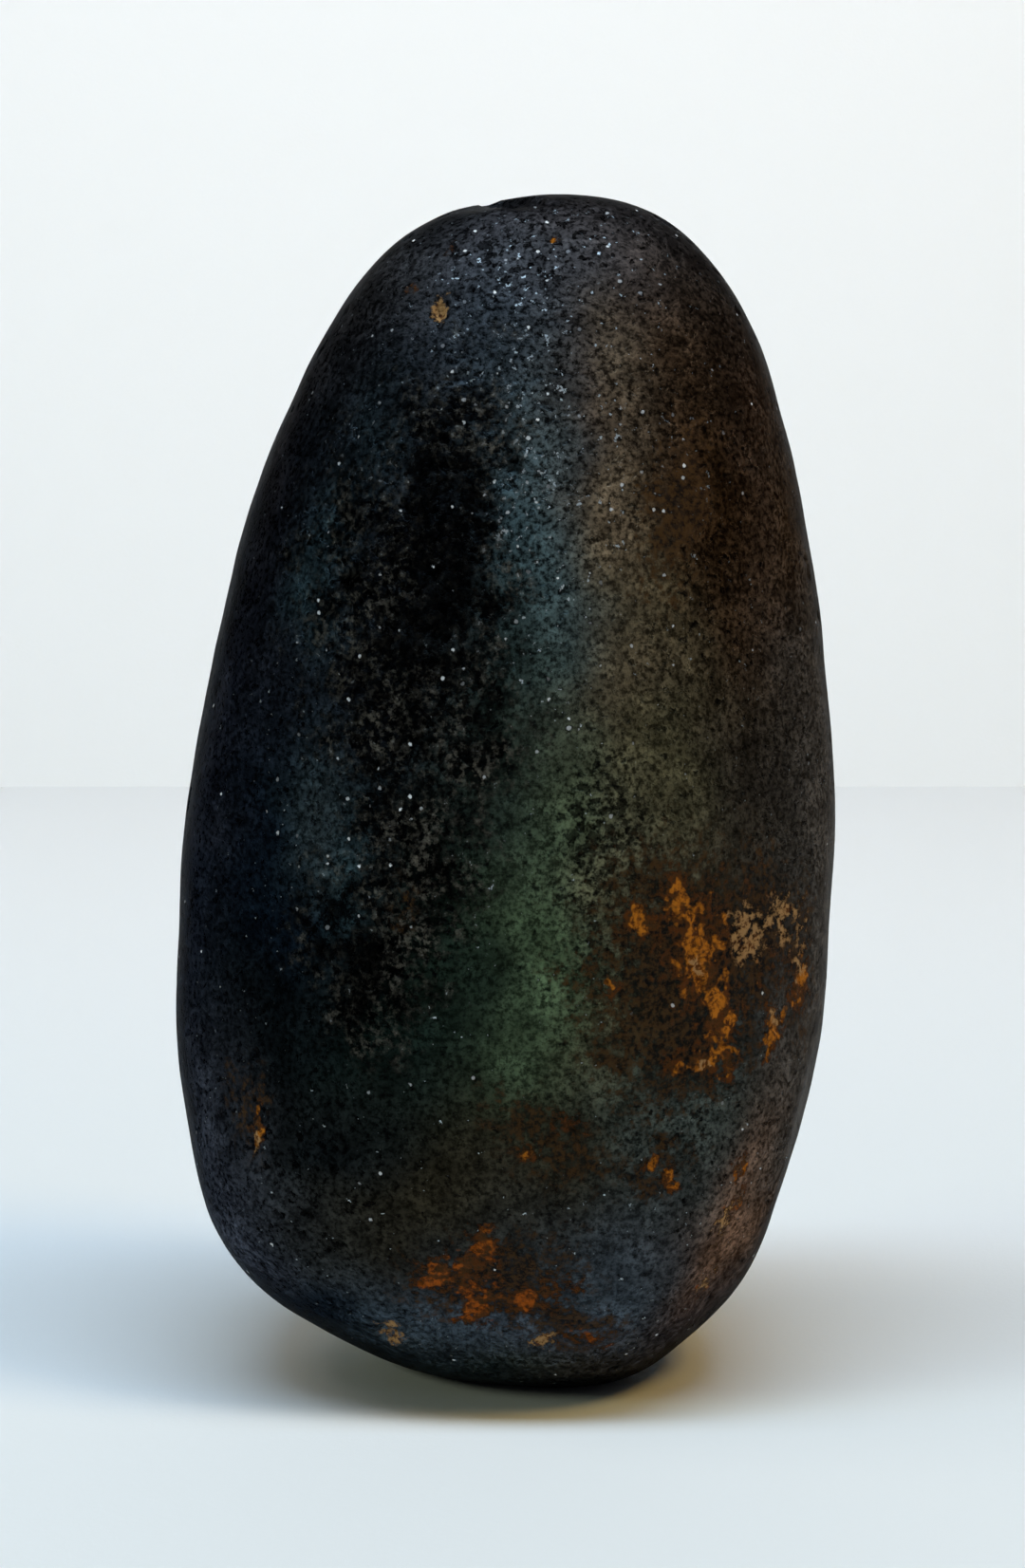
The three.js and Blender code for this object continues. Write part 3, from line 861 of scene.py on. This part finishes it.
def blackened(bench, patterns, finish, colour):
    """Black in the rough patch, with grit in it, and in pits. Also says where the small pits are."""
    black = with_alpha(finish.black)
    blotches = bench.noise(patterns.where, 2.6, 6.0, 0.68)
    shade = bench.broken(bench.mark("rough"), blotches, 1.1, 0.10, 1.00)
    bare = bench.span(bench.mark("plain_black"), 0.1, 0.8, 1.0, 0.12)
    bare = bench.maths("MULTIPLY", bare, bench.span(patterns.patches, 0.38, 0.62, 0.25, 1.0))
    grit = bench.maths("MULTIPLY", bench.span(patterns.flecks, 0.44, 0.68), bare)
    rough_colour = bench.blend(grit, black, with_alpha(finish.grit))
    colour = bench.blend(bench.maths("MULTIPLY", shade, 0.93), colour, rough_colour)

    specks = bench.noise(patterns.where, 0.80, 3.0, 0.6)
    small_pits = bench.broken(patterns.pitted, specks, 1.4, 0.66, 1.00)
    pores = bench.span(specks, 0.58, 0.68, 0.0, 0.7)
    small_pits = bench.maths("MAXIMUM", small_pits, pores)
    hollows = bench.span(bench.mark("hollow"), 0.3, 1.0, 0.0, 0.6)
    pits = bench.maths("MAXIMUM", small_pits, hollows)
    colour = bench.blend(bench.maths("MULTIPLY", pits, 0.8), colour, black)
    return colour, small_pits


def rusted(bench, patterns, finish, colour):
    """Dark brown stain, then rust brighter at its middle, then pale crumbs. Also says where each is."""
    crumbs, dust = patterns.crumbs, patterns.dust
    stain_brown = with_alpha(finish.stain)
    dark_rust = with_alpha(finish.rust_dark)

    stained = bench.maths("MULTIPLY", bench.broken(bench.mark("stained"), crumbs, 1.0, 0.10, 0.70), 0.9)
    stain = bench.blend(bench.span(dust, 0.38, 0.62), with_alpha(finish.black), stain_brown)
    colour = bench.blend(stained, colour, stain)

    rusty = bench.mark("rusty")
    filmed = bench.broken(rusty, crumbs, 1.1, 0.26, 0.68)
    film = bench.blend(bench.span(dust, 0.38, 0.64), stain_brown, dark_rust)
    colour = bench.blend(filmed, colour, film)

    clots = bench.noise(patterns.where, 1.1, 2.0, 0.5)
    clotted = bench.broken(rusty, clots, 1.0, 0.60, 0.86)
    bright_rust = bench.blend(bench.mark("ruddy"), with_alpha(finish.rust), with_alpha(finish.ruddy))
    rust = bench.blend(bench.span(dust, 0.36, 0.60), dark_rust, bright_rust)
    colour = bench.blend(clotted, colour, rust)

    ochred = bench.broken(bench.mark("ochre"), crumbs, 1.1, 0.42, 0.76)
    ochre = bench.blend(bench.span(dust, 0.38, 0.56), dark_rust, with_alpha(finish.ochre))
    colour = bench.blend(ochred, colour, ochre)
    return colour, stained, bench.maths("MAXIMUM", filmed, ochred)


def glinting(bench, patterns, finish, colour):
    """Painted glints: specks of pale, matt colour that stand in for single crystal faces catching the
    light. Also says where they are.
    """
    cell_size = 0.75 * MM
    cells = bench.add("ShaderNodeTexVoronoi", {"Vector": patterns.where, "Scale": 1.0 / cell_size})
    luck = bench.add("ShaderNodeSeparateColor", {"Color": cells.outputs["Color"]}).outputs
    chance = bench.span(patterns.glinting, 0.0, 1.0, 0.02, 0.28, smooth=False)
    lucky = bench.maths("LESS_THAN", luck["Red"], chance)
    fray = bench.span(patterns.grains, 0.3, 0.7, -0.12, 0.12, smooth=False)
    ragged = bench.maths("ADD", cells.outputs["Distance"], fray)
    near = bench.span(ragged, 0.12, 0.22, 1.0, 0.0)
    bright = bench.span(luck["Green"], 0.0, 1.0, 0.15, 1.0, smooth=False)
    glints = bench.maths("MULTIPLY", bench.maths("MULTIPLY", lucky, near), bright)
    return bench.blend(glints, colour, with_alpha(finish.painted_glint)), glints


def hematite_material(finish):
    """Dark worn iron ore: many soft tints that hold painted light too, fine grain, black pits, painted
    glints, and rust in its hollows.
    """
    material = bpy.data.materials.new("worn hematite")
    material.use_nodes = True
    bench = NodeBench(material)
    patterns = StonePatterns(bench)
    colour = grained(bench, patterns, finish)
    colour, small_pits = blackened(bench, patterns, finish, colour)
    colour, stained, crusted = rusted(bench, patterns, finish, colour)
    colour, glints = glinting(bench, patterns, finish, colour)

    # Satin like dull metal where worn, matt in rust and in the painted glints.
    matt = bench.maths("MAXIMUM", bench.maths("MAXIMUM", crusted, stained), glints)
    satin = bench.span(patterns.grains, 0.3, 0.7, 0.40, 0.56)
    roughness = bench.blend_number(matt, satin, 0.9)
    metallic = bench.maths("SUBTRACT", 1.0, matt, clamp=True)

    # Fine relief: grains, raised crumbs and sunk pits.
    crust_relief = bench.maths("MULTIPLY", patterns.crumbs, bench.maths("MULTIPLY", crusted, 2.6))
    relief = bench.maths("MULTIPLY", patterns.grains, 0.7)
    relief = bench.maths("ADD", relief, crust_relief)
    relief = bench.maths("SUBTRACT", relief, bench.maths("MULTIPLY", small_pits, 0.9))
    bump = bench.add("ShaderNodeBump", {"Height": relief, "Distance": 0.11 * MM, "Strength": 0.8})

    shader = bench.add(
        "ShaderNodeBsdfPrincipled",
        {
            "Base Color": colour,
            "Roughness": roughness,
            "Metallic": metallic,
            "Normal": bump.outputs["Normal"],
            "Specular IOR Level": finish.gloss,
            "Specular Tint": (finish.edge_shine, finish.edge_shine, finish.edge_shine, 1.0),
        },
    )
    bench.add("ShaderNodeOutputMaterial", {"Surface": shader.outputs["BSDF"]})
    return material


def paper_material(stage):
    """Plain white paper with a faint tooth."""
    material = bpy.data.materials.new("white paper")
    material.use_nodes = True
    bench = NodeBench(material)
    where = bench.add("ShaderNodeTexCoord").outputs["Object"]
    tooth = bench.noise(where, 0.6, 4.0, 0.6)
    bump = bench.add("ShaderNodeBump", {"Height": tooth, "Distance": 0.05 * MM, "Strength": 0.5})
    shader = bench.add(
        "ShaderNodeBsdfPrincipled",
        {
            "Base Color": with_alpha(stage.paper),
            "Roughness": 0.9,
            "Specular IOR Level": 0.1,
            "Normal": bump.outputs["Normal"],
        },
    )
    bench.add("ShaderNodeOutputMaterial", {"Surface": shader.outputs["BSDF"]})
    return material


def add_light(light):
    """Hangs one soft light from the list and turns it to its aim."""
    data = bpy.data.lights.new(light.name, "AREA")
    data.shape = "RECTANGLE"
    data.size, data.size_y = (side * MM for side in light.size)
    data.energy = light.power
    data.color = light.colour
    lamp = bpy.data.objects.new(light.name, data)
    lamp.location = Vector(light.place) * MM
    lamp.rotation_euler = (Vector(light.aim) - Vector(light.place)).to_track_quat("-Z", "Y").to_euler()
    lamp.visible_camera = False
    lamp.visible_glossy = light.mirrored
    lamp.visible_diffuse = light.cast
    bpy.context.collection.objects.link(lamp)


class HEMATITE_OT_stone(bpy.types.Operator):
    """Model the pebble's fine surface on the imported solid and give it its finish"""

    bl_idname = "hematite.stone"
    bl_label = "Pebble"

    def execute(self, context):
        shape = context.scene.hematite_shape
        finish = context.scene.hematite_finish
        pebble = divided_ball(shape)
        pebble.name = "pebble"
        settle_on_solid(pebble, shape)
        keep_colour(pebble, "tint", tinted_with_painted_light(points_of(pebble), finish))
        carve(pebble, shape)
        fill_box(pebble)
        flatten_foot(pebble)
        bpy.ops.object.shade_smooth()
        pebble.data.materials.append(hematite_material(finish))
        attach(pebble, "root")
        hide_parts("stone")
        return {"FINISHED"}


class HEMATITE_OT_stage(bpy.types.Operator):
    """Lay the sheet of paper, hang the lights and set the camera"""

    bl_idname = "hematite.stage"
    bl_label = "Paper, lights and camera"

    def execute(self, context):
        stage = context.scene.hematite_stage
        self.lay_paper(stage)
        self.hang_lights()
        self.set_camera(context, stage)
        context.scene.view_settings.view_transform = "Standard"
        return {"FINISHED"}

    def lay_paper(self, stage):
        """A sheet that lies flat, then slopes up at a fold behind the stone."""
        half = 900 * MM
        lean, rise = 430 * MM, 860 * MM
        deselect_all()
        bpy.ops.mesh.primitive_plane_add(size=2.0, location=(0.0, 0.0, 0.0))
        sheet = bpy.context.object
        sheet.name = "paper sheet"
        sheet.scale = (half, (half + stage.fold_distance) / 2, 1.0)
        sheet.location = (0.0, (stage.fold_distance - half) / 2, 0.0)
        bpy.ops.object.transform_apply(location=True, rotation=True, scale=True)
        mesh = sheet.data
        clear_mesh(mesh)
        for edge in mesh.edges:
            edge.select = all(mesh.vertices[i].co.y > 0.0 for i in edge.vertices)
        bpy.ops.object.mode_set(mode="EDIT")
        bpy.ops.mesh.select_mode(type="EDGE")
        bpy.ops.mesh.extrude_region_move(TRANSFORM_OT_translate={"value": (0.0, lean, rise)})
        bpy.ops.object.mode_set(mode="OBJECT")
        sheet.data.materials.append(paper_material(stage))

    def hang_lights(self):
        """Hangs the lights round the stone and adds the faint light of a dim room."""
        for light in LIGHTS:
            add_light(light)
        world = bpy.data.worlds.new("dim room")
        world.use_nodes = True
        background = world.node_tree.nodes["Background"]
        background.inputs["Color"].default_value = (0.66, 0.70, 0.76, 1.0)
        background.inputs["Strength"].default_value = 0.04
        bpy.context.scene.world = world

    def set_camera(self, context, stage):
        """The camera, close in front and a little above, as the view was taken."""
        data = bpy.data.cameras.new("camera")
        data.lens = stage.camera_lens
        data.sensor_width = 36.0
        data.clip_start = 10 * MM
        camera = bpy.data.objects.new("camera", data)
        camera.location = (stage.camera_shift, -stage.camera_distance, stage.camera_height)
        camera.rotation_euler = (math.pi / 2 - stage.camera_dip, 0.0, 0.0)
        context.collection.objects.link(camera)
        context.scene.camera = camera


class HEMATITE_PT_panel(bpy.types.Panel):
    """Lists the pebble's settings and the steps that build it"""

    bl_idname = "HEMATITE_PT_panel"
    bl_label = "Hematite pebble"
    bl_space_type = "VIEW_3D"
    bl_region_type = "UI"
    bl_category = "Hematite"

    def draw(self, context):
        scene = context.scene
        for settings, operator in (
            (scene.hematite_shape, None),
            (scene.hematite_finish, HEMATITE_OT_stone),
            (scene.hematite_stage, HEMATITE_OT_stage),
        ):
            column = self.layout.column()
            for name in settings.__annotations__:
                column.prop(settings, name)
            if operator:
                column.operator(operator.bl_idname)


CLASSES = (
    StoneShape,
    StoneFinish,
    PaperStage,
    HEMATITE_OT_stone,
    HEMATITE_OT_stage,
    HEMATITE_PT_panel,
)


def register():
    """Registers the classes and hangs their settings on the scene."""
    for cls in CLASSES:
        bpy.utils.register_class(cls)
    bpy.types.Scene.hematite_shape = bpy.props.PointerProperty(type=StoneShape)
    bpy.types.Scene.hematite_finish = bpy.props.PointerProperty(type=StoneFinish)
    bpy.types.Scene.hematite_stage = bpy.props.PointerProperty(type=PaperStage)


def unregister():
    """Takes the settings and classes away again."""
    del bpy.types.Scene.hematite_stage
    del bpy.types.Scene.hematite_finish
    del bpy.types.Scene.hematite_shape
    for cls in reversed(CLASSES):
        bpy.utils.unregister_class(cls)


def main():
    """Builds the pebble and its stage."""
    register()
    bpy.ops.hematite.stone()
    bpy.ops.hematite.stage()


if __name__ == "__main__":
    main()
